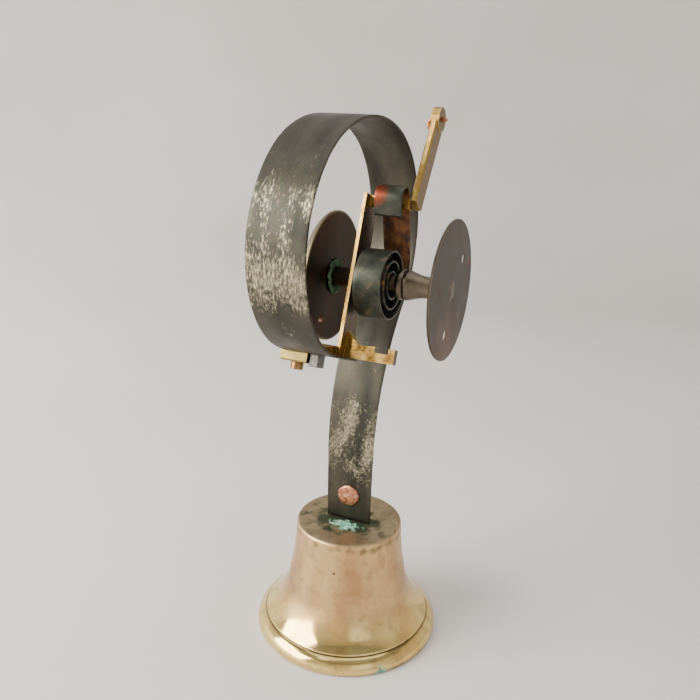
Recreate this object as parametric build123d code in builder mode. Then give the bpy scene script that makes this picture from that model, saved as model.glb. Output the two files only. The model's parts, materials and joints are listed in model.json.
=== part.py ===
# Servants' call bell on a scroll spring, in millimetres.
# Origin: centre of the wall plate's wall face. The spindle lies along Y, the wall is at +Y, and +Z is up.
# The call bell is shown standing on its bell's mouth, with the bell below and behind the spindle (-X).
import os
from math import cos, radians, sin

from build123d import *

# Wall plate, neck and spindle
plate_radius = 30.0
plate_thickness = 1.2
plate_bevel = 0.4
screw_circle = 38.0
screw_hole_radius = 2.3
screw_sink_radius = 3.5
screw_sink_angle = 100.0
screw_count = 2
screw_angle = 145.0
screw_spread = 141.0
neck_collar_radius = 6.6
neck_collar_bevel = 0.8
neck_collar_bead = 1.5
neck_collar_front = -24.0
neck_collar_back = -17.0
neck_waist_radius = 4.7
neck_waist = -11.0
neck_foot_radius = 6.2
tenon_radius = 4.0
spindle_radius = 2.5
spindle_front = -59.2
spindle_back = -16.0
spindle_fillet = 0.8

# Spring arbor: a slotted sleeve on the spindle that holds the return spring's inner end
arbor_radius = 3.6
arbor_front = -39.6
arbor_slot = 1.0

# Front plate and its hub
front_plate_radius = 29.0
front_plate_back = -54.3
front_plate_thickness = 3.0
front_plate_bevel = 1.6
front_hole_radius = 2.0
front_hole_circle = 21.7
front_hole_angle = -52.0
hub_spacer_radius = 4.3
hub_ring_radius = 7.8
hub_ring_thickness = 1.1
hub_ring_fillet = 0.7
hub_clearance = 0.3

# Carriage: an upright side plate with bars at its foot and head, leaning with its head towards -X
carriage_lean = 20.8
side_back = -42.4
side_thickness = 1.5
side_width = 15.0
side_foot = -35.0
side_head = 37.0
bush_radius = 4.6
bush_back = -39.9
running_clearance = 0.06
foot_bar_height = 6.6
foot_bar_depth = 4.0
foot_bar_end = -19.4
foot_notch_from = -28.6
foot_notch_to = -22.4
foot_notch_depth = 2.6
foot_gusset = 5.0
foot_gusset_run = 6.0
foot_hollow = 0.6
clamp_arm_reach = 20.4
clamp_arm_thickness = 4.2
clamp_arm_tip = 2.5
clamp_arm_front = -62.2
head_bar_height = 4.6
head_bar_depth = 5.0
arm_front = -24.0
arm_thickness = 3.0
arm_width = 9.4
arm_foot = 31.6
arm_lean = 35.0
arm_start = 3.3
arm_reach = 46.6
arm_eye_radius = 5.4
arm_eye_thickness = 3.8
arm_eye_hole = 1.6
arm_chamfer = 0.7

# Return spring: a flat coil round the arbor whose outer end rises and hooks over the head bar
coil_front = -39.1
coil_width = 12.7
coil_thickness = 0.8
coil_first_radius = 5.1
coil_pitch = 2.2
coil_half_turns = 5
coil_start = -4.3
coil_last_turn = 150.0
coil_run_out = 8.0
rise_bend = (14.0, -40.0)
rise_length = 28.0
hook_bend = (4.9, -175.0)
hook_lip = 7.0

# Scroll spring: a flat steel strip, clamped under the carriage and ending on the bell's crown
strip_width = 25.4
strip_thickness = 1.1
strip_middle = -50.0
strip_seat = -35.6
strip_inner_end = -2.5
strip_straight = 22.7
loop_bends = ((46.3, 82.2), (51.2, 57.4), (80.4, 42.7), (50.8, 66.9))
tail_bends = ((50.8, 46.4), (101.0, -46.4))
tail_foot_width = 23.6
tail_taper_height = 80.0
hinge_gap = 0.15

# Clamp under the scroll spring's inner end
clamp_place = 15.4
block_front = -64.0
block_back = -51.0
block_length = 10.0
block_thickness = 4.4
clamp_screw_radius = 1.9
clamp_head_radius = 2.8
clamp_head_height = 3.2
clamp_slot = 1.0
block_chamfer = 0.6
tab_front = -50.7
tab_back = -46.5
tab_length = 7.0
tab_thickness = 5.4

# Bell
bell_x = -16.0
bell_floor = -190.8
bell_height = 60.2
bell_wall = 2.8
mouth_radius = 47.4
lip_width = 3.6
lip_flat = 1.0
lip_edge_height = 1.2
lip_shoulder_height = 3.0
lip_shoulder = 0.8
line_radius = 42.9
line_height = 8.2
line_depth = 0.5
line_half_width = 0.4
line_groove = 0.3
flare_radius = 37.3
flare_height = 14.0
waist_radius = 32.6
waist_height = 22.0
side_radius = 29.4
side_height = 36.0
crown_radius = 26.9
shoulder_fillet = 2.2

# Tang, its rivet, washer and nut
tang_front = -15.333
tang_width = 12.0
tang_thickness = 2.2
tang_height = 22.0
tang_corner = 5.5
stem_radius = 3.0
washer_radius = 7.0
washer_thickness = 1.5
nut_across_flats = 11.0
nut_height = 5.0
rivet_radius = 2.4
rivet_head_radius = 5.8
rivet_head_height = 1.7
rivet_tail_radius = 3.6
rivet_tail_height = 1.2
rivet_height = 13.8

# Clapper
pivot_height = 46.0
lug_thickness = 3.0
lug_radius = 3.2
lug_hole = 1.75
loop_wire = 1.2
loop_radius = 3.8
clapper_rod_radius = 1.4
ball_radius = 7.5
ball_height = 16.0
rod_peening = 0.8

# Pull wire's hook in the arm's eye
wire_radius = 0.8
wire_stub = 2.4
wire_bend = 2.2
wire_gap = 0.5

os.makedirs("parts", exist_ok=True)


def upright(y):
    """Plane square to the spindle: its x is +X, its y is +Z, and it extrudes towards -Y."""
    return Plane(origin=(0, y, 0), x_dir=(1, 0, 0), z_dir=(0, -1, 0))


def leaning(y, lean=carriage_lean, origin=(0, 0)):
    """The same plane turned with the carriage: its y points up the carriage and its x towards +X."""
    return Plane(
        origin=(origin[0], y, origin[1]),
        x_dir=(cos(radians(lean)), 0, sin(radians(lean))),
        z_dir=(0, -1, 0),
    )


def on_carriage(across, up):
    """World X and Z of a point given across and up the leaning carriage."""
    lean = radians(carriage_lean)
    return (across * cos(lean) - up * sin(lean), across * sin(lean) + up * cos(lean))


def edgewise(across):
    """Plane lying up the carriage, its x along +Y and its y up: it extrudes across, towards +X."""
    x, z = on_carriage(across, 0)
    lean = radians(carriage_lean)
    return Plane(origin=(x, 0, z), x_dir=(0, 1, 0), z_dir=(cos(lean), 0, sin(lean)))


def seated(up):
    """Plane square to the carriage's length, its x across and its y along -Y: it extrudes downwards."""
    x, z = on_carriage(0, up)
    lean = radians(carriage_lean)
    return Plane(origin=(x, 0, z), x_dir=(cos(lean), 0, sin(lean)), z_dir=(sin(lean), 0, -cos(lean)))


def finish(part, name):
    """Label one finished piece and write it."""
    part.label = name
    export_step(part, f"parts/{name}.step")
    print(f"{name}: {part.volume:.1f} mm3")


def build_wall_plate():
    with BuildPart() as wall_plate:
        with BuildSketch(upright(0)):
            Circle(plate_radius)
            Circle(tenon_radius, mode=Mode.SUBTRACT)
        extrude(amount=plate_thickness)
        rim = wall_plate.edges().filter_by(GeomType.CIRCLE).group_by(SortBy.RADIUS)[-1]
        chamfer(rim.sort_by(Axis.Y)[0], length=plate_bevel)
        # Screw holes, countersunk on the side away from the wall
        with Locations(upright(-plate_thickness)):
            with PolarLocations(
                screw_circle / 2,
                screw_count,
                start_angle=screw_angle,
                angular_range=screw_spread,
                endpoint=True,
            ):
                CounterSinkHole(
                    screw_hole_radius,
                    screw_sink_radius,
                    counter_sink_angle=screw_sink_angle,
                )
    finish(wall_plate.part, "wall_plate")


def build_neck():
    # Turned neck: a collar, a hollow waist, a foot against the plate and a tenon peened through it.
    plate_back = -plate_thickness
    with BuildPart() as neck:
        with BuildSketch(Plane.YZ):
            with BuildLine():
                Polyline(
                    (neck_collar_front, spindle_radius),
                    (neck_collar_front, neck_collar_radius - neck_collar_bevel),
                    (neck_collar_front + neck_collar_bevel, neck_collar_radius),
                    (neck_collar_back - neck_collar_bead, neck_collar_radius),
                )
                Spline(
                    (neck_collar_back - neck_collar_bead, neck_collar_radius),
                    (neck_waist, neck_waist_radius),
                    (plate_back, neck_foot_radius),
                    tangents=((1, -0.35), (1, 1.1)),
                )
                Polyline(
                    (plate_back, neck_foot_radius),
                    (plate_back, tenon_radius),
                    (0, tenon_radius),
                    (0, 0),
                    (spindle_back, 0),
                    (spindle_back, spindle_radius),
                    (neck_collar_front, spindle_radius),
                )
            make_face()
        revolve(axis=Axis.Y)
    finish(neck.part, "neck")


def build_spindle():
    with BuildPart() as spindle:
        with BuildSketch(upright(spindle_back)):
            Circle(spindle_radius)
        extrude(amount=spindle_back - spindle_front)
        fillet(spindle.edges().sort_by(Axis.Y)[0], radius=spindle_fillet)
    finish(spindle.part, "spindle")


def build_spring_arbor():
    with BuildPart() as spring_arbor:
        with BuildSketch(upright(neck_collar_front)):
            Circle(arbor_radius)
            Circle(spindle_radius, mode=Mode.SUBTRACT)
            with Locations((-arbor_radius, 0)):
                Rectangle(arbor_radius, arbor_slot, mode=Mode.SUBTRACT)
        extrude(amount=neck_collar_front - arbor_front)
    finish(spring_arbor.part, "spring_arbor")


def build_front_plate():
    with BuildPart() as front_plate:
        with BuildSketch(upright(front_plate_back)):
            Circle(front_plate_radius)
            Circle(spindle_radius, mode=Mode.SUBTRACT)
            with PolarLocations(front_hole_circle, 1, start_angle=front_hole_angle):
                Circle(front_hole_radius, mode=Mode.SUBTRACT)
        extrude(amount=front_plate_thickness)
        rim = front_plate.edges().filter_by(GeomType.CIRCLE).group_by(SortBy.RADIUS)[-1]
        chamfer(rim.sort_by(Axis.Y)[0], length=front_plate_bevel)
    finish(front_plate.part, "front_plate")


def build_hub():
    ring_back = front_plate_back + hub_ring_thickness
    spacer_back = side_back - side_thickness - hub_clearance
    with BuildPart() as hub_spacer:
        with BuildSketch(upright(spacer_back)):
            Circle(hub_spacer_radius)
            Circle(spindle_radius, mode=Mode.SUBTRACT)
        extrude(amount=spacer_back - front_plate_back)
    finish(hub_spacer.part, "hub_spacer")
    with BuildPart() as hub_ring:
        with BuildSketch(upright(ring_back)):
            Circle(hub_ring_radius)
            Circle(hub_spacer_radius, mode=Mode.SUBTRACT)
        extrude(amount=hub_ring_thickness)
        outer = hub_ring.edges().filter_by(GeomType.CIRCLE).group_by(SortBy.RADIUS)[-1]
        fillet(outer.sort_by(Axis.Y)[-1], radius=hub_ring_fillet)
    finish(hub_ring.part, "hub_ring")


def build_carriage_frame():
    # One brass casting: side plate, foot bar towards the wall, clamp arm towards the front, head bar.
    side_front = side_back - side_thickness
    foot_top = side_foot + foot_bar_height
    head_foot = side_head - head_bar_height
    with BuildPart() as carriage_frame:
        with BuildSketch(leaning(side_back)):
            with BuildLine():
                Polyline(
                    (-side_width / 2, side_head),
                    (-side_width / 2, side_foot),
                    (side_width / 2, side_foot),
                    (side_width / 2, side_head),
                    close=True,
                )
            make_face()
            Circle(bush_radius, mode=Mode.SUBTRACT)
        extrude(amount=side_thickness)
        # Foot bar: its top edge is hollowed beside a deep notch, with a gusset against the side plate
        with BuildSketch(edgewise(-foot_bar_depth / 2)):
            with BuildLine():
                Polyline(
                    (side_back, side_foot),
                    (foot_bar_end, side_foot),
                    (foot_bar_end, foot_top),
                    (foot_notch_to, foot_top),
                    (foot_notch_to, foot_top - foot_notch_depth),
                    (foot_notch_from, foot_top - foot_notch_depth),
                    (foot_notch_from, foot_top),
                    (side_back + foot_gusset_run, foot_top - foot_hollow),
                    (side_back, foot_top + foot_gusset),
                    close=True,
                )
            make_face()
        extrude(amount=foot_bar_depth)
        # Clamp arm: reaches forward and to the near side, over the scroll spring's inner end
        with BuildSketch(leaning(side_front)):
            with BuildLine():
                Polyline(
                    (-foot_bar_depth / 2, strip_seat + strip_thickness / 2),
                    (clamp_arm_reach, strip_seat + strip_thickness / 2),
                    (clamp_arm_reach, strip_seat + strip_thickness / 2 + clamp_arm_tip),
                    (side_width / 2, strip_seat + strip_thickness / 2 + clamp_arm_thickness),
                    (-foot_bar_depth / 2, strip_seat + strip_thickness / 2 + clamp_arm_thickness),
                    close=True,
                )
            make_face()
        extrude(amount=side_front - clamp_arm_front)
        with BuildSketch(leaning(arm_front)):
            with Locations((0, (side_head + head_foot) / 2)):
                Rectangle(head_bar_depth, head_bar_height)
        extrude(amount=arm_front - side_back)
        # Hole for the clamp screw, tapped in the clamp arm
        with BuildSketch(seated(strip_seat + clamp_arm_reach / 2)):
            with Locations((clamp_place, -(block_front + block_back) / 2)):
                Circle(clamp_screw_radius)
        extrude(amount=clamp_arm_reach / 2, mode=Mode.SUBTRACT)
    finish(carriage_frame.part, "carriage_frame")


def build_carriage_bush():
    with BuildPart() as carriage_bush:
        with BuildSketch(upright(bush_back)):
            Circle(bush_radius)
            Circle(spindle_radius + running_clearance, mode=Mode.SUBTRACT)
        extrude(amount=bush_back - side_back + side_thickness)
    finish(carriage_bush.part, "carriage_bush")


def arm_eye_place():
    """World X and Z of the centre of the pull arm's eye."""
    x, z = on_carriage(0, arm_foot)
    lean = radians(arm_lean)
    return (x - arm_reach * sin(lean), z + arm_reach * cos(lean))


def build_pull_arm():
    # Flat bar against the head bar's end, leaning further than the carriage, with a thicker eye.
    foot = on_carriage(0, arm_foot)
    arm_back = arm_front + arm_thickness
    eye_back = arm_back + (arm_eye_thickness - arm_thickness) / 2
    with BuildPart() as pull_arm:
        with BuildSketch(leaning(arm_back, arm_lean, foot)):
            with Locations((0, (arm_start + arm_reach) / 2)):
                Rectangle(arm_width, arm_reach - arm_start)
        extrude(amount=arm_thickness)
        across = Axis((0, 0, 0), (cos(radians(arm_lean)), 0, sin(radians(arm_lean))))
        near_side = pull_arm.faces().sort_by(across)[-1]
        chamfer(near_side.edges().filter_by(Axis.Y, reverse=True), length=arm_chamfer)
        with BuildSketch(upright(eye_back)):
            with Locations(arm_eye_place()):
                Circle(arm_eye_radius)
        extrude(amount=arm_eye_thickness)
        with BuildSketch(upright(eye_back)):
            with Locations(arm_eye_place()):
                Circle(arm_eye_hole)
        extrude(amount=arm_eye_thickness, mode=Mode.SUBTRACT)
    finish(pull_arm.part, "pull_arm")


def bend_points(bends, place, heading):
    """Draw tangent arcs from a place and heading, given as (radius, turn) pairs; returns their end."""
    for radius, turn in bends:
        tangent = (cos(radians(heading)), sin(radians(heading)))
        place = JernArc(start=place, tangent=tangent, radius=radius, arc_size=turn) @ 1
        heading += turn
    return place


def draw_straight(place, heading, length):
    """Draw a straight from a place at a heading; returns its end."""
    return Line(place, place + Vector(cos(radians(heading)), sin(radians(heading))) * length) @ 1


def build_return_spring():
    # Half circles that grow by one step each, then a run out, a slanting rise and a hook over the head bar.
    turns = [(coil_first_radius + turn * coil_pitch, -180) for turn in range(coil_half_turns)]
    turns.append((coil_first_radius + coil_half_turns * coil_pitch, -coil_last_turn))
    heading = 90 - 180 * coil_half_turns - coil_last_turn
    with BuildPart() as return_spring:
        with BuildSketch(upright(coil_front + coil_width)):
            with BuildLine() as centreline:
                place = bend_points(turns, (coil_start, 0), 90)
                place = draw_straight(place, heading, coil_run_out)
                place = bend_points([rise_bend], place, heading)
                place = draw_straight(place, heading + rise_bend[1], rise_length)
                place = bend_points([hook_bend], place, heading + rise_bend[1])
                place = draw_straight(place, heading + rise_bend[1] + hook_bend[1], hook_lip)
            trace(centreline.line, line_width=coil_thickness)
        extrude(amount=coil_width)
    finish(return_spring.part, "return_spring")
    print("return spring ends at x, z:", place)


def hinge_place():
    """World X and Z where the scroll spring points straight down: the line it bends about."""
    with BuildLine(mode=Mode.PRIVATE) as run:
        place = Vector(*on_carriage(strip_inner_end + strip_straight, strip_seat))
        place = bend_points(loop_bends, place, carriage_lean)
    return place


def build_scroll_spring_loop():
    # From the clamp under the carriage, round the near side and the top, to the far side.
    inner_end = on_carriage(strip_inner_end, strip_seat)
    bend_start = on_carriage(strip_inner_end + strip_straight, strip_seat)
    with BuildPart() as scroll_spring_loop:
        with BuildSketch(upright(strip_middle + strip_width / 2)):
            with BuildLine() as centreline:
                Line(inner_end, bend_start)
                end = bend_points(loop_bends, bend_start, carriage_lean)
            trace(centreline.line, line_width=strip_thickness)
            with Locations((end.X, end.Y)):
                Rectangle(2 * strip_thickness, 2 * hinge_gap, mode=Mode.SUBTRACT)
        extrude(amount=strip_width)
        with BuildSketch(seated(strip_seat + strip_thickness)):
            with Locations((clamp_place, -(block_front + block_back) / 2)):
                Circle(clamp_screw_radius)
        extrude(amount=2 * strip_thickness, mode=Mode.SUBTRACT)
    finish(scroll_spring_loop.part, "scroll_spring_loop")
    print("scroll spring bends about x, z:", end)


def build_scroll_spring_tail():
    # From the far side down to the bell's crown.
    crown = bell_floor + bell_height
    with BuildPart() as scroll_spring_tail:
        with BuildSketch(upright(strip_middle + strip_width / 2)):
            with BuildLine() as centreline:
                end = bend_points(tail_bends, hinge_place(), 270)
                Line(end, (end.X, crown))
            trace(centreline.line, line_width=strip_thickness)
            with Locations(hinge_place()):
                Rectangle(2 * strip_thickness, 2 * hinge_gap, mode=Mode.SUBTRACT)
        extrude(amount=strip_width)
        with BuildSketch(Plane.YZ.offset(end.X - strip_thickness)):
            with Locations((strip_middle, crown + rivet_height)):
                Circle(rivet_radius)
        extrude(amount=2 * strip_thickness, mode=Mode.SUBTRACT)
        # The tail narrows towards the bell
        with BuildSketch(Plane.YZ.offset(end.X - strip_thickness)):
            for side in (-1, 1):
                edge = strip_middle + side * strip_width / 2
                with BuildLine():
                    Polyline(
                        (edge, crown + tail_taper_height),
                        (strip_middle + side * tail_foot_width / 2, crown),
                        (edge + side, crown),
                        (edge + side, crown + tail_taper_height),
                        close=True,
                    )
                make_face()
        extrude(amount=tail_taper_height, both=True, mode=Mode.SUBTRACT)
    finish(scroll_spring_tail.part, "scroll_spring_tail")
    print("tail stands at x:", end.X)


def build_clamp():
    block_top = strip_seat - strip_thickness / 2
    block_foot = block_top - block_thickness
    screw_y = (block_front + block_back) / 2
    with BuildPart() as clamp_block:
        with BuildSketch(seated(block_top)):
            with Locations((clamp_place, -screw_y)):
                Rectangle(block_length, block_back - block_front)
                Circle(clamp_screw_radius, mode=Mode.SUBTRACT)
        extrude(amount=block_thickness)
        chamfer(clamp_block.faces().sort_by(Axis.Z)[0].outer_wire().edges(), length=block_chamfer)
    finish(clamp_block.part, "clamp_block")
    with BuildPart() as clamp_screw:
        with BuildSketch(seated(block_foot)):
            with Locations((clamp_place, -screw_y)):
                Circle(clamp_head_radius)
        extrude(amount=clamp_head_height)
        with BuildSketch(seated(strip_seat + strip_thickness / 2 + clamp_arm_thickness)):
            with Locations((clamp_place, -screw_y)):
                Circle(clamp_screw_radius)
        extrude(amount=strip_thickness + clamp_arm_thickness + block_thickness)
        with BuildSketch(seated(block_foot - clamp_head_height + clamp_slot)):
            with Locations((clamp_place, -screw_y)):
                Rectangle(clamp_slot, 2 * clamp_head_radius)
        extrude(amount=clamp_slot, mode=Mode.SUBTRACT)
    finish(clamp_screw.part, "clamp_screw")
    with BuildPart() as keeper_tab:
        with BuildSketch(seated(block_top)):
            with Locations((clamp_place, -(tab_front + tab_back) / 2)):
                Rectangle(tab_length, tab_back - tab_front)
        extrude(amount=tab_thickness)
    finish(keeper_tab.part, "keeper_tab")


def bell_plane():
    """Upright plane through the bell's axis: its x is the radius and its y the height above the mouth."""
    return Plane(origin=(bell_x, strip_middle, bell_floor), x_dir=(1, 0, 0), z_dir=(0, -1, 0))


def bell_axis():
    return Axis((bell_x, strip_middle, bell_floor), (0, 0, 1))


def build_bell():
    # A thick lip with a scratched line over it, a flare, near-straight sides and a flat crown.
    crown_inside = bell_height - bell_wall
    step = line_radius - line_depth
    with BuildPart() as bell:
        with BuildSketch(bell_plane()):
            with BuildLine():
                Polyline(
                    (mouth_radius - lip_width, 0),
                    (mouth_radius - lip_flat, 0),
                    (mouth_radius, lip_edge_height),
                    (mouth_radius - lip_shoulder, lip_shoulder_height),
                    (line_radius, line_height - line_half_width),
                    (step - line_groove, line_height),
                    (step, line_height + line_half_width),
                )
                Spline(
                    (step, line_height + line_half_width),
                    (flare_radius, flare_height),
                    (waist_radius, waist_height),
                    (side_radius, side_height),
                    (crown_radius, bell_height),
                    tangents=((-1, 0.95), (-0.02, 1)),
                )
                Line((crown_radius, bell_height), (stem_radius, bell_height))
                Line((stem_radius, bell_height), (stem_radius, crown_inside))
                Line((stem_radius, crown_inside), (crown_radius - bell_wall, crown_inside))
                Spline(
                    (crown_radius - bell_wall, crown_inside),
                    (side_radius - bell_wall, side_height),
                    (waist_radius - bell_wall, waist_height - 0.8),
                    (flare_radius - 0.8 * bell_wall, flare_height - 0.6 * bell_wall),
                    (mouth_radius - lip_width, 0),
                    tangents=((0.02, -1), (0.9, -1)),
                )
            make_face()
        revolve(axis=bell_axis())
        crown_edges = bell.edges().filter_by(GeomType.CIRCLE).group_by(Axis.Z)
        fillet(crown_edges[-1].sort_by(SortBy.RADIUS)[-1], radius=shoulder_fillet)
        fillet(crown_edges[-2].sort_by(SortBy.RADIUS)[-1], radius=shoulder_fillet)
    finish(bell.part, "bell")


def build_tang():
    # Flat tongue behind the strip, a round stem through the crown and a pierced lug under the nut.
    crown = bell_floor + bell_height
    pivot = bell_floor + pivot_height
    nut_foot = crown - bell_wall - washer_thickness - nut_height
    with BuildPart() as bell_tang:
        with BuildSketch(Plane.YZ.offset(tang_front - tang_thickness)):
            with Locations((strip_middle, crown + tang_height / 2)):
                Rectangle(tang_width, tang_height)
            with Locations((strip_middle, crown + rivet_height)):
                Circle(rivet_radius, mode=Mode.SUBTRACT)
        extrude(amount=tang_thickness)
        upper_corners = bell_tang.edges().filter_by(Axis.X).group_by(Axis.Z)[-1]
        fillet(upper_corners, radius=tang_corner)
        with BuildSketch(Plane.XY.offset(nut_foot)):
            with Locations((bell_x, strip_middle)):
                Circle(stem_radius)
        extrude(amount=crown - nut_foot)
        with BuildSketch(upright(strip_middle + lug_thickness / 2)):
            with Locations((bell_x, pivot)):
                Circle(lug_radius)
            with Locations((bell_x, (pivot + nut_foot) / 2)):
                Rectangle(2 * stem_radius, nut_foot - pivot)
            with Locations((bell_x, pivot)):
                Circle(lug_hole, mode=Mode.SUBTRACT)
        extrude(amount=lug_thickness)
    finish(bell_tang.part, "bell_tang")


def build_tail_rivet():
    # Copper rivet through strip and tang: a domed head in front, a small one peened behind.
    head_seat = tang_front + strip_thickness
    tail_seat = tang_front - tang_thickness
    height = bell_floor + bell_height + rivet_height
    with BuildPart() as tail_rivet:
        with BuildSketch(Plane(origin=(0, strip_middle, height), x_dir=(1, 0, 0), z_dir=(0, -1, 0))):
            with BuildLine():
                Line((tail_seat - rivet_tail_height, 0), (head_seat + rivet_head_height, 0))
                ThreePointArc(
                    (head_seat + rivet_head_height, 0),
                    (head_seat + 0.8 * rivet_head_height, 0.55 * rivet_head_radius),
                    (head_seat, rivet_head_radius),
                )
                Polyline(
                    (head_seat, rivet_head_radius),
                    (head_seat, rivet_radius),
                    (tail_seat, rivet_radius),
                    (tail_seat, rivet_tail_radius),
                    (tail_seat - rivet_tail_height, rivet_radius),
                    (tail_seat - rivet_tail_height, 0),
                )
            make_face()
        revolve(axis=Axis((0, strip_middle, height), (1, 0, 0)))
    finish(tail_rivet.part, "tail_rivet")


def build_crown_fasteners():
    washer_top = bell_floor + bell_height - bell_wall
    nut_top = washer_top - washer_thickness
    with BuildPart() as tang_washer:
        with BuildSketch(Plane.XY.offset(washer_top)):
            with Locations((bell_x, strip_middle)):
                Circle(washer_radius)
                Circle(stem_radius, mode=Mode.SUBTRACT)
        extrude(amount=-washer_thickness)
    finish(tang_washer.part, "tang_washer")
    with BuildPart() as tang_nut:
        with BuildSketch(Plane.XY.offset(nut_top)):
            with Locations((bell_x, strip_middle)):
                RegularPolygon(nut_across_flats / 2, 6, major_radius=False)
                Circle(stem_radius, mode=Mode.SUBTRACT)
        extrude(amount=-nut_height)
    finish(tang_nut.part, "tang_nut")


def build_clapper():
    # A wire loop through the lug, a rod and a ball that the rod's end is peened through.
    pivot = bell_floor + pivot_height
    ball_middle = bell_floor + ball_height
    rod_top = pivot - 2 * loop_radius
    rod_foot = ball_middle - ball_radius - rod_peening
    with BuildPart() as clapper_rod:
        with Locations((bell_x, strip_middle, pivot - loop_radius)):
            Torus(loop_radius, loop_wire, rotation=(0, 90, 0))
        with BuildSketch(Plane.XY.offset(rod_top)):
            with Locations((bell_x, strip_middle)):
                Circle(clapper_rod_radius)
        extrude(amount=rod_foot - rod_top)
    finish(clapper_rod.part, "clapper_rod")
    with BuildPart() as clapper_ball:
        with Locations((bell_x, strip_middle, ball_middle)):
            Sphere(ball_radius)
            Cylinder(clapper_rod_radius, 3 * ball_radius, mode=Mode.SUBTRACT)
    finish(clapper_ball.part, "clapper_ball")


def build_pull_hook():
    # Stub of pull wire through the arm's eye, bent back down beside it.
    x, z = arm_eye_place()
    eye_back = arm_front + (arm_thickness + arm_eye_thickness) / 2
    eye_front = eye_back - arm_eye_thickness
    with BuildPart() as pull_hook:
        with BuildLine(Plane(origin=(x, 0, z), x_dir=(0, 1, 0), z_dir=(1, 0, 0))) as route:
            shank = Line((eye_back + wire_stub, 0), (eye_front - wire_gap, 0))
            JernArc(start=(eye_front - wire_gap, 0), tangent=(-1, 0), radius=wire_bend, arc_size=180)
        with BuildSketch(Plane(origin=shank @ 0, z_dir=shank % 0)):
            Circle(wire_radius)
        sweep(path=route.line)
    finish(pull_hook.part, "pull_hook")


build_wall_plate()
build_neck()
build_spindle()
build_spring_arbor()
build_front_plate()
build_hub()
build_carriage_frame()
build_carriage_bush()
build_pull_arm()
build_return_spring()
build_scroll_spring_loop()
build_scroll_spring_tail()
build_clamp()
build_bell()
build_tang()
build_tail_rivet()
build_crown_fasteners()
build_clapper()
build_pull_hook()
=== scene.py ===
# Servants' call bell on a scroll spring: its looks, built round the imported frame, in metres.
import json
import math

import bmesh
import bpy
import numpy as np
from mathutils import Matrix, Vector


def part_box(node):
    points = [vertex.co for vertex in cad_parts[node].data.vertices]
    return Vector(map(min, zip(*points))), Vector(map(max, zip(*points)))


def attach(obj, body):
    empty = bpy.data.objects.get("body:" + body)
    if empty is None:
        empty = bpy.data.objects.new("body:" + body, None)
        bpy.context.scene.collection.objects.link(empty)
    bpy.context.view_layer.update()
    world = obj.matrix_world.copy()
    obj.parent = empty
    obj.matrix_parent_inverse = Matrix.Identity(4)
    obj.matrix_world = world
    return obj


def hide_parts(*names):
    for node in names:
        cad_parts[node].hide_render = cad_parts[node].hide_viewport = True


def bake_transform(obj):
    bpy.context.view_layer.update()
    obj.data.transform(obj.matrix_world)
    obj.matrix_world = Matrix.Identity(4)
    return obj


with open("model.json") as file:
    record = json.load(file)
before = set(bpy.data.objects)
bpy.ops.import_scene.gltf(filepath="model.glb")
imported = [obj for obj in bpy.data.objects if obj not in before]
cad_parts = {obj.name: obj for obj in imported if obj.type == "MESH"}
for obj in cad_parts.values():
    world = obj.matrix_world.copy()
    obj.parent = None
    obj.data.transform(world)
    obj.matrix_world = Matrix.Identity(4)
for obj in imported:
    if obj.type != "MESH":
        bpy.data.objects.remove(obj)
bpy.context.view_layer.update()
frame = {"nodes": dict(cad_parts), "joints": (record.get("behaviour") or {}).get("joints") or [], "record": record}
joints = {joint["name"]: joint for joint in frame["joints"]}
mm = 0.001


def linear(code):
    # A "#rrggbb" sRGB colour as the linear RGBA that sockets take.
    parts = np.array([int(code[k:k + 2], 16) / 255 for k in (1, 3, 5)])
    low, high = parts / 12.92, ((parts + 0.055) / 1.055) ** 2.4
    return (*np.where(parts <= 0.04045, low, high), 1.0)


def add(tree, kind, inputs=None, ramp=(), **settings):
    # Adds a node: settings are its own fields, inputs are values or sockets to link, ramp its colour
    # stops.
    made = tree.nodes.new(kind)
    for name, value in settings.items():
        setattr(made, name, value)
    for key, value in (inputs or {}).items():
        if isinstance(value, bpy.types.NodeSocket):
            tree.links.new(value, made.inputs[key])
        else:
            made.inputs[key].default_value = value
    for k, (place, shade) in enumerate(ramp):
        stops = made.color_ramp.elements
        if k == 0:
            while len(stops) > 1:
                stops.remove(stops[-1])
            stops[0].position = place
        else:
            stops.new(place)
        stops[k].color = linear(shade) if isinstance(shade, str) else (shade, shade, shade, 1.0)
    return made


def newMaterial(name):
    # A material with only its shader and output left in it.
    made = bpy.data.materials.new(name)
    made.use_nodes = True
    tree = made.node_tree
    return made, tree, tree.nodes["Principled BSDF"]


def grain(size):
    # Scale of a pattern on metre coordinates whose features are this many millimetres across.
    return 1000.0 / size


def waves(points, size, seed, count=28):
    # Soft bumps from -1 to 1: the mean of sine waves in random directions, of wavelengths round size.
    draw = np.random.default_rng(seed)
    turn = draw.normal(size=(count, 3))
    turn /= np.linalg.norm(turn, axis=1)[:, None]
    length = size * draw.uniform(0.6, 1.7, count)
    phase = draw.uniform(0, 2 * np.pi, count)
    flat = points.reshape(-1, 3)
    total = np.sin(flat @ (turn / length[:, None] * 2 * np.pi).T + phase).sum(axis=1)
    return (total / math.sqrt(count / 2) / 2).reshape(points.shape[:-1]).clip(-1, 1)


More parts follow.
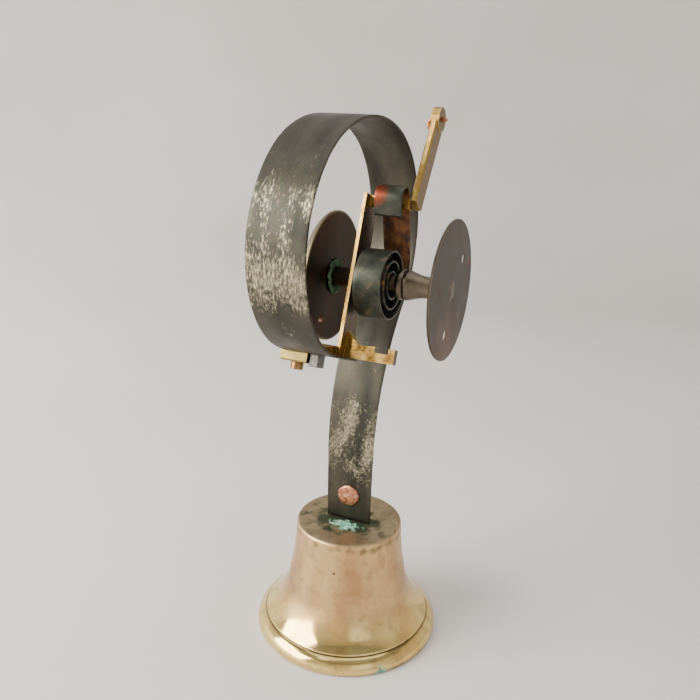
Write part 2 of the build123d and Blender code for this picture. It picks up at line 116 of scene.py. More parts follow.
def gridPiece(name, points, uv=None, loop=True, caps=(), marks=None):
    # A mesh from points[row, column]: each cell of four neighbours is a face, and columns close on
    # themselves. uv holds a pair for each row and column, with one more column where the surface closes.
    rows, columns = points.shape[:2]
    last = columns if loop else columns - 1
    i, j = np.meshgrid(np.arange(rows - 1), np.arange(last), indexing="ij")
    k = (j + 1) % columns
    cells = np.stack([i * columns + j, i * columns + k, (i + 1) * columns + k, (i + 1) * columns + j], -1)
    faces = cells.reshape(-1, 4).tolist()
    spare = [[0.0, 0.0]]
    if uv is not None:
        corners = np.stack([uv[i, j], uv[i, j + 1], uv[i + 1, j + 1], uv[i + 1, j]], -2).reshape(-1, 2)
    if 0 in caps:
        faces.append(list(range(columns))[::-1])
    if 1 in caps:
        faces.append(list(range((rows - 1) * columns, rows * columns)))
    mesh = bpy.data.meshes.new(name)
    mesh.from_pydata(points.reshape(-1, 3).tolist(), [], faces)
    if uv is not None:
        layer = mesh.uv_layers.new(name="surface")
        rest = np.repeat(np.array(spare), len(mesh.loops) - len(corners), axis=0)
        layer.data.foreach_set("uv", np.concatenate([corners, rest]).astype(np.float32).ravel())
    for mark, values in (marks or {}).items():
        layer = mesh.attributes.new(mark, "FLOAT", "POINT")
        layer.data.foreach_set("value", values.astype(np.float32).ravel())
    mesh.shade_smooth()
    piece = bpy.data.objects.new(name, mesh)
    bpy.context.scene.collection.objects.link(piece)
    return piece


def runPoints(start, heading, runs, step):
    # A path of tangent runs in the XZ plane, as points, headings and lengths along it. A run is
    # (length, 0) or (radius, turn in degrees); a point of an arc is its centre plus the radius, turned.
    places, headings, lengths = [np.array([start])], [np.array([heading])], [np.array([0.0])]
    for size, turn in runs:
        x, z = places[-1][-1]
        h, done = headings[-1][-1], lengths[-1][-1]
        length = abs(math.radians(turn)) * size if turn else size
        t = np.linspace(0, 1, max(2, round(length / step)) + 1)[1:]
        now = h + math.radians(turn) * t
        if turn:
            side = math.copysign(size, turn)
            new = np.stack([x + side * (np.sin(now) - math.sin(h)),
                            z - side * (np.cos(now) - math.cos(h))], -1)
        else:
            new = np.stack([x + size * t * math.cos(h), z + size * t * math.sin(h)], -1)
        places.append(new)
        headings.append(now)
        lengths.append(done + length * t)
    return np.concatenate(places), np.concatenate(headings), np.concatenate(lengths)


def stripSection(width, thickness, corner, flats):
    # The outline of a flat strip with rounded edges: across, over, and the length round it.
    # It starts on the under side and goes across it, round the edge, and back over the upper side.
    a, b = width / 2 - corner, thickness / 2 - corner
    flat = np.linspace(-a, a, flats)
    bend = np.linspace(0, np.pi / 2, 4)[1:]
    quarter = np.stack([np.sin(bend), 1 - np.cos(bend)], -1) * corner
    half = np.concatenate([
        np.stack([flat, np.full(flats, -b - corner)], -1),
        np.array([a, -b - corner]) + quarter,
        np.array([a + corner, b]) + np.stack([-quarter[:, 1], quarter[:, 0]], -1)[:-1],
    ])
    outline = np.concatenate([half, -half])
    steps = np.linalg.norm(np.diff(np.vstack([outline, outline[:1]]), axis=0), axis=1)
    return outline, np.concatenate([[0.0], np.cumsum(steps)])


def stripPiece(name, path, middle, section, sag=0.0, taper=None, seed=1):
    # A strip on edge along a path: point = path + across * Y + over * the path's left-hand normal.
    places, headings, lengths = path
    outline, around = section
    rows, columns = len(places), len(outline)
    across = np.broadcast_to(outline[:, 0], (rows, columns))
    if taper is not None:
        across = across * taper[:, None]
    over = np.broadcast_to(outline[:, 1], (rows, columns))
    plain = np.stack([np.broadcast_to(lengths[:, None], (rows, columns)), across, 0 * across], -1)
    over = over + sag * waves(plain, 22 * mm, seed) * (abs(across) < abs(across).max() * 0.999)
    across = across * (1 + 0.004 * waves(plain * [1, 0, 0], 9 * mm, seed + 1))
    normal = np.stack([-np.sin(headings), np.cos(headings)], -1)
    points = np.stack([
        places[:, None, 0] + over * normal[:, None, 0],
        middle + across,
        places[:, None, 1] + over * normal[:, None, 1],
    ], -1)
    uv = np.stack(np.broadcast_arrays(lengths[:, None], around[None, :]), -1)
    return gridPiece(name, points, uv=uv, caps=(0, 1))


def lathePiece(name, profile, centre, turns, axis="Z", lumps=0.0, lumpSize=4 * mm, seed=3, marker=None):
    # A turned piece: point = centre + radius * (cos, sin) of the angle, at the profile's height on the
    # axis.
    angle = np.linspace(0, 2 * np.pi, turns, endpoint=False)
    radius, height = profile[:, 0][:, None], profile[:, 1][:, None]
    flat = [radius * np.cos(angle), radius * np.sin(angle), height + 0 * angle]
    order = {"Z": (0, 1, 2), "Y": (1, 2, 0)}[axis]
    offsets = np.stack([flat[k] for k in order], -1)
    points = offsets + np.array(centre)
    if lumps:
        points = points + (offsets / (np.linalg.norm(offsets, axis=-1, keepdims=True) + 1e-9)
                           * (lumps * waves(points, lumpSize, seed))[..., None])
    marks = marker(points) if marker else None
    if marks and "lift" in marks:
        points[..., 2] += marks.pop("lift")
    uv = np.stack(np.broadcast_arrays(
        np.cumsum(np.r_[0, np.linalg.norm(np.diff(profile, axis=0), axis=1)])[:, None],
        np.linspace(0, 1, turns + 1)[None, :]), -1)
    return gridPiece(name, points, uv=uv, marks=marks)


def softLine(knots, startTangent=None, endTangent=None, spacing=0.8 * mm):
    # A smooth line through knots: cubic pieces whose slope at a knot is that of its two neighbours.
    knots = np.array(knots, float)
    chords = np.linalg.norm(np.diff(knots, axis=0), axis=1)
    slopes = np.gradient(knots, np.r_[0, np.cumsum(chords)], axis=0)
    for k, tangent in ((0, startTangent), (-1, endTangent)):
        if tangent is not None:
            slopes[k] = np.array(tangent) / np.linalg.norm(tangent)
    pieces = []
    for k, chord in enumerate(chords):
        t = np.linspace(0, 1, max(3, round(chord / spacing)) + 1)[:-1, None]
        pieces.append((2 * t**3 - 3 * t**2 + 1) * knots[k] + (t**3 - 2 * t**2 + t) * chord * slopes[k]
                      + (3 * t**2 - 2 * t**3) * knots[k + 1] + (t**3 - t**2) * chord * slopes[k + 1])
    return np.concatenate(pieces + [knots[-1:]])


def softened(node, name, edge, slot):
    # A copy of a CAD node with its corners merged and its edges rounded by a filed bevel.
    source = frame["nodes"][node]
    work = bmesh.new()
    work.from_mesh(source.data)
    bmesh.ops.remove_doubles(work, verts=work.verts, dist=0.002 * mm)
    bmesh.ops.dissolve_limit(work, angle_limit=math.radians(1), verts=work.verts, edges=work.edges)
    work.verts.ensure_lookup_table()
    mesh = bpy.data.meshes.new(name)
    mesh.from_pydata([tuple(v.co) for v in work.verts], [], [[v.index for v in f.verts] for f in work.faces])
    work.free()
    mesh.shade_smooth()
    piece = bpy.data.objects.new(name, mesh)
    bpy.context.scene.collection.objects.link(piece)
    bevel = piece.modifiers.new("filed edges", "BEVEL")
    bevel.width = edge
    bevel.segments = 3
    bevel.limit_method = "ANGLE"
    bevel.angle_limit = math.radians(35)
    bevel.harden_normals = True
    settle(piece, next(b for b, names in bodyNodes.items() if node in names), slot, node)
    return piece


def settle(piece, body, slot, *nodes):
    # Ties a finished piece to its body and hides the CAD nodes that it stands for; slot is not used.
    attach(piece, body)
    if nodes:
        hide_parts(*nodes)
    return piece


def dress(material, *targets):
    # Gives one material to pieces or CAD nodes.
    for piece in targets:
        piece.data.materials.clear()
        piece.data.materials.append(material)


bodyNodes = frame["record"]["behaviour"]["bodies"]
print("frame loaded:", len(frame["nodes"]), "nodes")


def steelScale():
    # Spring steel strip, hot rolled and left black: dark grey scale, rubbed through to bright metal where
    # it rings and is handled, as fine streaks along the strip and as wormy patches low on the tail.
    made, tree, shader = newMaterial("rolled spring steel with worn mill scale")
    place = add(tree, "ShaderNodeUVMap", uv_map="surface")
    parts = add(tree, "ShaderNodeSeparateXYZ", {0: place.outputs[0]})
    along = add(tree, "ShaderNodeMath", {0: parts.outputs["X"], 1: scrollSpring["total"]}, operation="DIVIDE")
    under = add(tree, "ShaderNodeMath", {0: parts.outputs["Y"], 1: 25.8 * mm}, operation="LESS_THAN")
    outer = add(tree, "ShaderNodeValToRGB", {0: along.outputs[0]}, ramp=scrollSpring["outerWear"])
    inner = add(tree, "ShaderNodeValToRGB", {0: along.outputs[0]}, ramp=scrollSpring["innerWear"])
    wear = add(tree, "ShaderNodeMix", {0: under.outputs[0], 6: inner.outputs[0], 7: outer.outputs[0]},
               data_type="RGBA")
    stretched = add(tree, "ShaderNodeMapping", {0: place.outputs[0], "Scale": (0.42, 1.0, 1.0)})
    fine = add(tree, "ShaderNodeTexNoise",
               {"Vector": stretched.outputs[0], "Scale": grain(0.95), "Detail": 5.0,
                                            "Roughness": 0.62})
    broad = add(tree, "ShaderNodeTexNoise",
                {"Vector": stretched.outputs[0], "Scale": grain(9), "Detail": 3.0})
    worm = add(tree, "ShaderNodeTexNoise", {"Vector": place.outputs[0], "Scale": grain(2.4), "Detail": 3.0,
                                            "Roughness": 0.55, "Distortion": 1.6})
    # Streaks on the outer face, worms on the tail's inner face
    picked = add(tree, "ShaderNodeMix", {0: under.outputs[0], 2: worm.outputs[0], 3: fine.outputs[0]})
    rough = add(tree, "ShaderNodeMix", {0: 0.5, 2: picked.outputs[0], 3: broad.outputs[0]})
    raised = add(tree, "ShaderNodeMath", {0: wear.outputs[2], 1: 0.42, 2: rough.outputs[0]},
                 operation="MULTIPLY_ADD")
    worn = add(tree, "ShaderNodeMapRange", {0: raised.outputs[0], 1: 0.66, 2: 0.80}, clamp=True)
    smoky = add(tree, "ShaderNodeTexNoise",
                {"Vector": stretched.outputs[0], "Scale": grain(14), "Detail": 5.0})
    dark = add(tree, "ShaderNodeValToRGB", {0: smoky.outputs[0]},
               ramp=((0.3, "#2f2f2a"), (0.5, "#434139"), (0.7, "#524e43")))
    mottled = add(tree, "ShaderNodeMix", {0: 0.4, 6: dark.outputs[0], 7: fine.outputs["Color"]},
                  data_type="RGBA", blend_type="OVERLAY")
    bright = add(tree, "ShaderNodeValToRGB", {0: fine.outputs[0]},
                 ramp=((0.35, "#66624f"), (0.5, "#8e8770"), (0.68, "#c4bb9e")))
    shade = add(tree, "ShaderNodeMix", {0: worn.outputs[0], 6: mottled.outputs[2], 7: bright.outputs[0]},
                data_type="RGBA")
    edge = add(tree, "ShaderNodeMapRange", {0: smoky.outputs[0], 1: 0.3, 2: 0.7, 3: 0.52, 4: 0.38})
    gloss = add(tree, "ShaderNodeMix", {0: worn.outputs[0], 2: edge.outputs[0], 3: 0.30})
    pits = add(tree, "ShaderNodeTexNoise", {"Vector": place.outputs[0], "Scale": grain(0.5), "Detail": 3.0})
    relief = add(tree, "ShaderNodeMath", {0: worn.outputs[0], 1: -0.6, 2: pits.outputs[0]},
                 operation="MULTIPLY_ADD")
    bump = add(tree, "ShaderNodeBump", {"Height": relief.outputs[0], "Strength": 0.5, "Distance": 0.05 * mm})
    shader.inputs["Metallic"].default_value = 0.85
    for socket, source in (("Base Color", shade.outputs[2]), ("Roughness", gloss.outputs[0]),
                           ("Normal", bump.outputs[0])):
        tree.links.new(source, shader.inputs[socket])
    return made


def bellMetal():
    # Cast bell metal, turned and polished: pale gold with pinkish clouds, a mirror at the flare, a satin
    # upper part, casting pits, dirt in the scratched line, a dull crown, green corrosion round the strip
    # and a darker green-grey patch round the strip's foot.
    made, tree, shader = newMaterial("polished cast bell metal")
    place = add(tree, "ShaderNodeTexCoord")
    parts = add(tree, "ShaderNodeSeparateXYZ", {0: place.outputs["Object"]})
    height = add(tree, "ShaderNodeMath", {0: parts.outputs["Z"], 1: bellShape["floor"]}, operation="SUBTRACT")
    share = add(tree, "ShaderNodeMath", {0: height.outputs[0], 1: bellShape["height"]}, operation="DIVIDE")
    tall = add(tree, "ShaderNodeMapping", {0: place.outputs["Object"], "Scale": (1.0, 1.0, 0.35)})
    cloud = add(tree, "ShaderNodeTexNoise", {"Vector": tall.outputs[0], "Scale": grain(26), "Detail": 4.0,
                                             "Roughness": 0.55})
    smudge = add(tree, "ShaderNodeTexNoise", {"Vector": place.outputs["Object"], "Scale": grain(7),
                                              "Detail": 6.0, "Roughness": 0.65})
    gold = add(tree, "ShaderNodeValToRGB", {0: cloud.outputs[0]},
               ramp=((0.34, "#bb9165"), (0.5, "#d3b07c"), (0.66, "#e6c98d")))
    lipGold = add(tree, "ShaderNodeValToRGB", {0: cloud.outputs[0]},
                  ramp=((0.3, "#dcb96f"), (0.55, "#f0d68d"), (0.7, "#f7e6a8")))
    low = add(tree, "ShaderNodeMapRange", {0: share.outputs[0], 1: 0.42, 2: 0.22}, clamp=True)
    base = add(tree, "ShaderNodeMix", {0: low.outputs[0], 6: gold.outputs[0], 7: lipGold.outputs[0]},
               data_type="RGBA")
    dulled = add(tree, "ShaderNodeMapRange", {0: smudge.outputs[0], 1: 0.5, 2: 0.75, 4: 0.5}, clamp=True)
    tarnishAndPaintedShade = add(tree, "ShaderNodeMix", {0: dulled.outputs[0], 6: base.outputs[2], 7: linear("#83603f")},
                    data_type="RGBA")
    # Casting pits: small dark dots, in some of the cells only
    cells = add(tree, "ShaderNodeTexVoronoi", {"Vector": place.outputs["Object"], "Scale": grain(6)})
    few = add(tree, "ShaderNodeSeparateColor", {0: cells.outputs["Color"]})
    size = add(tree, "ShaderNodeMapRange", {0: few.outputs[0], 1: 0.4, 2: 1.0, 3: 0.0, 4: 0.13}, clamp=True)
    pit = add(tree, "ShaderNodeMath", {0: cells.outputs["Distance"], 1: size.outputs[0]},
              operation="LESS_THAN")
    pitted = add(tree, "ShaderNodeMix", {0: pit.outputs[0], 6: tarnishAndPaintedShade.outputs[2], 7: linear("#5d4632")},
                 data_type="RGBA")
    line = add(tree, "ShaderNodeAttribute", attribute_name="dirt")
    lined = add(tree, "ShaderNodeMix", {0: line.outputs["Fac"], 6: pitted.outputs[2], 7: linear("#2e2617")},
                data_type="RGBA")
    top = add(tree, "ShaderNodeAttribute", attribute_name="crown")
    crownTone = add(tree, "ShaderNodeValToRGB", {0: smudge.outputs[0]},
                    ramp=((0.3, "#7d7158"), (0.5, "#9c8c6d"), (0.7, "#ab9c80")))
    crowned = add(tree, "ShaderNodeMix",
                  {0: top.outputs["Fac"], 6: lined.outputs[2], 7: crownTone.outputs[0]},
                  data_type="RGBA")
    # A darker green-grey patch round the strip's foot
    stain = add(tree, "ShaderNodeAttribute", attribute_name="stain")
    footDarkened = add(tree, "ShaderNodeMix",
                  {0: stain.outputs["Fac"], 6: crowned.outputs[2], 7: linear("#3d4a3c")},
                  data_type="RGBA")
    crust = add(tree, "ShaderNodeAttribute", attribute_name="crust")
    speckle = add(tree, "ShaderNodeTexNoise", {"Vector": place.outputs["Object"], "Scale": grain(1.6),
                                               "Detail": 4.0})
    green = add(tree, "ShaderNodeValToRGB", {0: speckle.outputs[0]},
                ramp=((0.35, "#3f6b58"), (0.5, "#6fb295"), (0.62, "#a3d6bd")))
    crusted = add(tree, "ShaderNodeMix",
                  {0: crust.outputs["Fac"], 6: footDarkened.outputs[2], 7: green.outputs[0]},
                  data_type="RGBA")
    tree.links.new(crusted.outputs[2], shader.inputs["Base Color"])
    sheen = add(tree, "ShaderNodeValToRGB", {0: share.outputs[0]},
                ramp=((0.0, 0.13), (0.2, 0.09), (0.33, 0.2), (0.5, 0.33), (1.0, 0.36)))
    wiped = add(tree, "ShaderNodeMath", {0: dulled.outputs[0], 1: 0.16, 2: sheen.outputs[0]},
                operation="MULTIPLY_ADD")
    flatTop = add(tree, "ShaderNodeMix", {0: top.outputs["Fac"], 2: wiped.outputs[0], 3: 0.5})
    matt = add(tree, "ShaderNodeMath", {0: crust.outputs["Fac"], 1: stain.outputs["Fac"]},
               operation="MAXIMUM")
    finish = add(tree, "ShaderNodeMix", {0: matt.outputs[0], 2: flatTop.outputs[0], 3: 0.8})
    tree.links.new(finish.outputs[0], shader.inputs["Roughness"])
    metal = add(tree, "ShaderNodeMath", {0: 1.0, 1: crust.outputs["Fac"]}, operation="SUBTRACT")
    tree.links.new(metal.outputs[0], shader.inputs["Metallic"])
    rings = add(tree, "ShaderNodeTexNoise", {"Vector": place.outputs["Object"], "Scale": grain(1.2),
                                             "Detail": 3.0})
    relief = add(tree, "ShaderNodeMath", {0: pit.outputs[0], 1: -3.0, 2: rings.outputs[0]},
                 operation="MULTIPLY_ADD")
    bump = add(tree, "ShaderNodeBump", {"Height": relief.outputs[0], "Strength": 0.25, "Distance": 0.02 * mm})
    tree.links.new(bump.outputs[0], shader.inputs["Normal"])
    return made


def agedBrass(name, tones, worn, sheen, seed, spot=(), edgeWidth=0.5, wallShadeAndTarnish=None, rim=None,
              size=11):
    # Old brass: a clouded patina in a few tones, with fine scratches, and bare metal along its edges,
    # which the rounded-corner normal finds. The wall-side colour is painted shade with tarnish, on faces
    # whose normal turns to the wall; rim is the tone beyond a distance from the spindle. Each spot fades
    # out at a ragged distance from its centre.
    made, tree, shader = newMaterial(name)
    place = add(tree, "ShaderNodeTexCoord")
    moved = add(tree, "ShaderNodeMapping", {0: place.outputs["Object"], "Location": (seed, 0.0, 0.0)})
    cloud = add(tree, "ShaderNodeTexNoise", {"Vector": moved.outputs[0], "Scale": grain(size), "Detail": 6.0,
                                             "Roughness": 0.6})
    patina = add(tree, "ShaderNodeValToRGB", {0: cloud.outputs[0]}, ramp=tones)
    fine = add(tree, "ShaderNodeTexNoise", {"Vector": moved.outputs[0], "Scale": grain(0.8), "Detail": 4.0})
    mottled = add(tree, "ShaderNodeMix", {0: 0.22, 6: patina.outputs[0], 7: fine.outputs["Color"]},
                  data_type="RGBA", blend_type="OVERLAY")
    last = mottled.outputs[2]
    plain = add(tree, "ShaderNodeNewGeometry")
    if wallShadeAndTarnish:
        # Painted shade with tarnish: faces whose normal turns to the wall (+Y) are darkened
        facing = add(tree, "ShaderNodeSeparateXYZ", {0: plain.outputs["Normal"]})
        turned = add(tree, "ShaderNodeMath", {0: cloud.outputs[0], 1: 0.6, 2: facing.outputs["Y"]},
                     operation="MULTIPLY_ADD")
        wallFacingShade = add(tree, "ShaderNodeMapRange", {0: turned.outputs[0], 1: 0.95, 2: 1.2, 4: wallShadeAndTarnish[1]},
                   clamp=True)
        tarnishAndPaintedShade = add(tree, "ShaderNodeMix", {0: wallFacingShade.outputs[0], 6: last, 7: linear(wallShadeAndTarnish[0])},
                        data_type="RGBA")
        last = tarnishAndPaintedShade.outputs[2]
    if rim:
        flat = add(tree, "ShaderNodeVectorMath", {0: place.outputs["Object"], 1: (1, 0, 1)},
                   operation="MULTIPLY")
        out = add(tree, "ShaderNodeVectorMath", {0: flat.outputs[0]}, operation="LENGTH")
        beyond = add(tree, "ShaderNodeMapRange", {0: out.outputs["Value"], 1: rim[0], 2: rim[0] + 0.5 * mm,
                                                  4: rim[2]}, clamp=True)
        rimmed = add(tree, "ShaderNodeMix", {0: beyond.outputs[0], 6: last, 7: linear(rim[1])},
                     data_type="RGBA")
        last = rimmed.outputs[2]
    for centre, reach, shade, strength in spot:
        away = add(tree, "ShaderNodeVectorMath", {0: place.outputs["Object"], 1: centre},
                   operation="DISTANCE")
        ragged = add(tree, "ShaderNodeMath", {0: cloud.outputs[0], 1: reach, 2: away.outputs["Value"]},
                     operation="MULTIPLY_ADD")
        near = add(tree, "ShaderNodeMapRange", {0: ragged.outputs[0], 1: 1.5 * reach, 2: 0.8 * reach,
                                                4: strength}, clamp=True)
        spotted = add(tree, "ShaderNodeMix", {0: near.outputs[0], 6: last, 7: linear(shade)},
                      data_type="RGBA")
        last = spotted.outputs[2]
    rounded = add(tree, "ShaderNodeBevel", {"Radius": edgeWidth * mm}, samples=6)
    agree = add(tree, "ShaderNodeVectorMath", {0: rounded.outputs[0], 1: plain.outputs["Normal"]},
                operation="DOT_PRODUCT")
    edge = add(tree, "ShaderNodeMapRange", {0: agree.outputs["Value"], 1: 0.99, 2: 0.86}, clamp=True)
    rubbed = add(tree, "ShaderNodeMath", {0: edge.outputs[0], 1: fine.outputs[0]}, operation="MULTIPLY")
    rubbedMore = add(tree, "ShaderNodeMath", {0: rubbed.outputs[0], 1: 1.7}, operation="MULTIPLY",
                     use_clamp=True)
    shade = add(tree, "ShaderNodeMix", {0: rubbedMore.outputs[0], 6: last, 7: linear(worn)}, data_type="RGBA")
    gloss = add(tree, "ShaderNodeMapRange", {0: cloud.outputs[0], 1: 0.3, 2: 0.7, 3: sheen[0], 4: sheen[1]})
    scratches = add(tree, "ShaderNodeTexNoise", {"Vector": moved.outputs[0], "Scale": grain(0.35),
                                                 "Detail": 3.0})
    bump = add(tree, "ShaderNodeBump", {"Height": scratches.outputs[0], "Strength": 0.3,
                                        "Distance": 0.03 * mm})
    shader.inputs["Metallic"].default_value = 1.0
    for socket, source in (("Base Color", shade.outputs[2]), ("Roughness", gloss.outputs[0]),
                           ("Normal", bump.outputs[0])):
        tree.links.new(source, shader.inputs[socket])
    return made


def coilSteel():
    # Blued spring steel gone grey-green, with golden brown rust along the edge that faces the wall, a
    # rise painted rusty brown for rust and for painted shade on its underside, and a red patch on the hook.
    made, tree, shader = newMaterial("blued spring steel with rust")
    place = add(tree, "ShaderNodeUVMap", uv_map="surface")
    parts = add(tree, "ShaderNodeSeparateXYZ", {0: place.outputs[0]})
    along = add(tree, "ShaderNodeMath", {0: parts.outputs["X"], 1: returnCoil["total"]}, operation="DIVIDE")
    where = add(tree, "ShaderNodeTexCoord")
    cloud = add(tree, "ShaderNodeTexNoise", {"Vector": where.outputs["Object"], "Scale": grain(5),
                                             "Detail": 6.0, "Roughness": 0.62})
    steel = add(tree, "ShaderNodeValToRGB", {0: cloud.outputs[0]},
                ramp=((0.32, "#3c403b"), (0.5, "#4b4f47"), (0.68, "#5b5b50")))
    rust = add(tree, "ShaderNodeValToRGB", {0: cloud.outputs[0]},
               ramp=((0.3, "#43302a"), (0.45, "#6b4530"), (0.6, "#8f6239"), (0.75, "#a5823f")))
    # Rust by share of the length; on the rise it is rust and painted shade on the strip's underside
    length = add(tree, "ShaderNodeValToRGB", {0: along.outputs[0]}, ramp=returnCoil["rust"])
    depth = add(tree, "ShaderNodeSeparateXYZ", {0: where.outputs["Object"]})
    wallward = add(tree, "ShaderNodeMapRange", {0: depth.outputs["Y"], 1: returnCoil["middle"] + 1 * mm,
                                                2: returnCoil["middle"] + 6.5 * mm, 4: 0.16}, clamp=True)
    amount = add(tree, "ShaderNodeMath", {0: length.outputs[0], 1: wallward.outputs[0]}, operation="MAXIMUM")
    ragged = add(tree, "ShaderNodeMath", {0: amount.outputs[0], 1: 0.7, 2: cloud.outputs[0]},
                 operation="MULTIPLY_ADD")
    rustAndShadeMask = add(tree, "ShaderNodeMapRange", {0: ragged.outputs[0], 1: 0.66, 2: 0.86}, clamp=True)
    shade = add(tree, "ShaderNodeMix", {0: rustAndShadeMask.outputs[0], 6: steel.outputs[0], 7: rust.outputs[0]},
                data_type="RGBA")
    patch = add(tree, "ShaderNodeVectorMath", {0: where.outputs["Object"], 1: returnCoil["redPatch"]},
                operation="DISTANCE")
    near = add(tree, "ShaderNodeMapRange", {0: patch.outputs["Value"], 1: 7.0 * mm, 2: 3.5 * mm, 4: 0.9},
               clamp=True)
    red = add(tree, "ShaderNodeMix", {0: near.outputs[0], 6: shade.outputs[2], 7: linear("#94482f")},
              data_type="RGBA")
    metal = add(tree, "ShaderNodeMapRange", {0: rustAndShadeMask.outputs[0], 3: 0.85, 4: 0.15})
    gloss = add(tree, "ShaderNodeMapRange", {0: rustAndShadeMask.outputs[0], 3: 0.42, 4: 0.75})
    pits = add(tree, "ShaderNodeTexNoise", {"Vector": where.outputs["Object"], "Scale": grain(0.6),
                                            "Detail": 4.0})
    bump = add(tree, "ShaderNodeBump", {"Height": pits.outputs[0], "Strength": 0.3, "Distance": 0.04 * mm})
    for socket, source in (("Base Color", red.outputs[2]), ("Roughness", gloss.outputs[0]),
                           ("Metallic", metal.outputs[0]), ("Normal", bump.outputs[0])):
        tree.links.new(source, shader.inputs[socket])
    return made


def simpleMetal(name, tones, sheen, size, metallic=1.0, cracks=0.0, relief=0.08):
    # Hammered or cast metal: two sizes of mottling, hammer marks in the relief, and dark cracks if it has
    # any.
    made, tree, shader = newMaterial(name)
    place = add(tree, "ShaderNodeTexCoord")
    cloud = add(tree, "ShaderNodeTexNoise", {"Vector": place.outputs["Object"], "Scale": grain(size),
                                             "Detail": 6.0, "Roughness": 0.65})
    shade = add(tree, "ShaderNodeValToRGB", {0: cloud.outputs[0]}, ramp=tones)
    last = shade.outputs[0]
    if cracks:
        cells = add(tree, "ShaderNodeTexVoronoi", {"Vector": place.outputs["Object"], "Scale": grain(cracks)},
                    feature="DISTANCE_TO_EDGE")
        dark = add(tree, "ShaderNodeMapRange", {0: cells.outputs["Distance"], 1: 0.05, 2: 0.01, 4: 0.8},
                   clamp=True)
        cracked = add(tree, "ShaderNodeMix", {0: dark.outputs[0], 6: last, 7: linear("#4a2c20")},
                      data_type="RGBA")
        last = cracked.outputs[2]
    gloss = add(tree, "ShaderNodeMapRange", {0: cloud.outputs[0], 1: 0.3, 2: 0.7, 3: sheen[0], 4: sheen[1]})
    marks = add(tree, "ShaderNodeTexNoise", {"Vector": place.outputs["Object"], "Scale": grain(size / 3),
                                             "Detail": 3.0})
    bump = add(tree, "ShaderNodeBump", {"Height": marks.outputs[0], "Strength": 0.6, "Distance": relief * mm})
    shader.inputs["Metallic"].default_value = metallic
    for socket, source in (("Base Color", last), ("Roughness", gloss.outputs[0]),
                           ("Normal", bump.outputs[0])):
        tree.links.new(source, shader.inputs[socket])
    return made


hinge = joints["scroll_flex"]["pos_m"]
scrollSpring = {
    "width": 25.4 * mm, "thickness": 1.1 * mm, "corner": 0.3 * mm,
    "loop": ((50.8 * mm, -66.9), (80.4 * mm, -42.7), (51.2 * mm, -57.4), (46.3 * mm, -82.2), (22.7 * mm, 0)),
    "tail": ((50.8 * mm, 46.4), (101.0 * mm, -46.4)),
    "step": 1.2 * mm, "sag": 0.05 * mm, "narrowing": 0.071, "taperHeight": 80 * mm,
    "bendFrom": 120 * mm, "bendTo": 90 * mm,     # how far each side of the hinge the unused bend share reaches
    # Wear, by share of the length from the clamp: 0 is black scale and 1 bare metal
    "outerWear": ((0.0, 0.1), (0.128, 0.16), (0.146, 0.48), (0.172, 0.58), (0.196, 0.47), (0.215, 0.28),
                  (0.234, 0.42), (0.252, 0.40), (0.264, 0.16), (0.32, 0.08), (0.6, 0.15), (0.8, 0.35),
                  (0.92, 0.4), (1.0, 0.15)),
    "innerWear": ((0.0, 0.08), (0.5, 0.1), (0.8, 0.05), (0.83, 0.1), (0.852, 0.42), (0.89, 0.48),
                  (0.93, 0.42),
                  (0.955, 0.2), (1.0, 0.1)),
}


def buildScrollSpring():
    # The path is worked out from the hinge both ways: back over the loop to the clamp, and down the tail.
    spring = scrollSpring
    up = runPoints((hinge[0], hinge[2]), math.pi / 2, spring["loop"], spring["step"])
    down = runPoints((hinge[0], hinge[2]), -math.pi / 2, spring["tail"], spring["step"])
    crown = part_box("bell")[1].z
    last = runPoints(down[0][-1], down[1][-1], ((down[0][-1][1] - crown, 0),), spring["step"])
    back = up[2][-1]
    places = np.concatenate([up[0][::-1], down[0][1:], last[0][1:]])
    headings = np.concatenate([up[1][::-1] + math.pi, down[1][1:] + 2 * math.pi, last[1][1:] + 2 * math.pi])
    lengths = np.concatenate([back - up[2][::-1], back + down[2][1:], back + down[2][-1] + last[2][1:]])
    spring["total"] = float(lengths[-1])
    section = stripSection(spring["width"], spring["thickness"], spring["corner"], 24)
    narrowed = 1 - spring["narrowing"] * (1 - (places[:, 1] - crown) / spring["taperHeight"]).clip(0, 1)
    narrowed = np.where(lengths > back, narrowed, 1.0)
    piece = stripPiece("scrollSpring", (places, headings, lengths), hinge[1], section, sag=spring["sag"],
                       taper=narrowed, seed=5)
    # A share from 0 to 1 that grows smoothly with the length from the hinge is worked out; nothing uses it
    share = (lengths - back + spring["bendFrom"]) / (spring["bendFrom"] + spring["bendTo"])
    share = share.clip(0, 1)
    share = np.repeat(share * share * (3 - 2 * share), len(section[0]))
    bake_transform(piece)
    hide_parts("scroll_spring_loop", "scroll_spring_tail")
    dress(steelScale(), piece)
    print("scroll spring:", round(spring["total"] / mm), "mm of strip")


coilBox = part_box("return_spring")
returnCoil = {
    "firstRadius": 5.1 * mm, "pitch": 2.2 * mm, "halfTurns": 5, "start": -4.3 * mm, "lastTurn": 150.0,
    "out": ((8.0 * mm, 0), (14.0 * mm, -40.0), (28.0 * mm, 0), (4.9 * mm, -175.0), (7.0 * mm, 0)),
    "thickness": 0.8 * mm, "corner": 0.22 * mm, "step": 0.7 * mm,
    "middle": (coilBox[0].y + coilBox[1].y) / 2, "width": coilBox[1].y - coilBox[0].y,
    # Share of the length painted rusty brown: rust, and on the rise painted shade too
    "rust": ((0.0, 0.05), (0.70, 0.08), (0.77, 0.4), (0.82, 0.6), (0.91, 0.62), (0.935, 0.08), (1.0, 0.0)),
}
returnCoil["redPatch"] = (-7.5 * mm, coilBox[0].y, coilBox[1].z - 3 * mm)


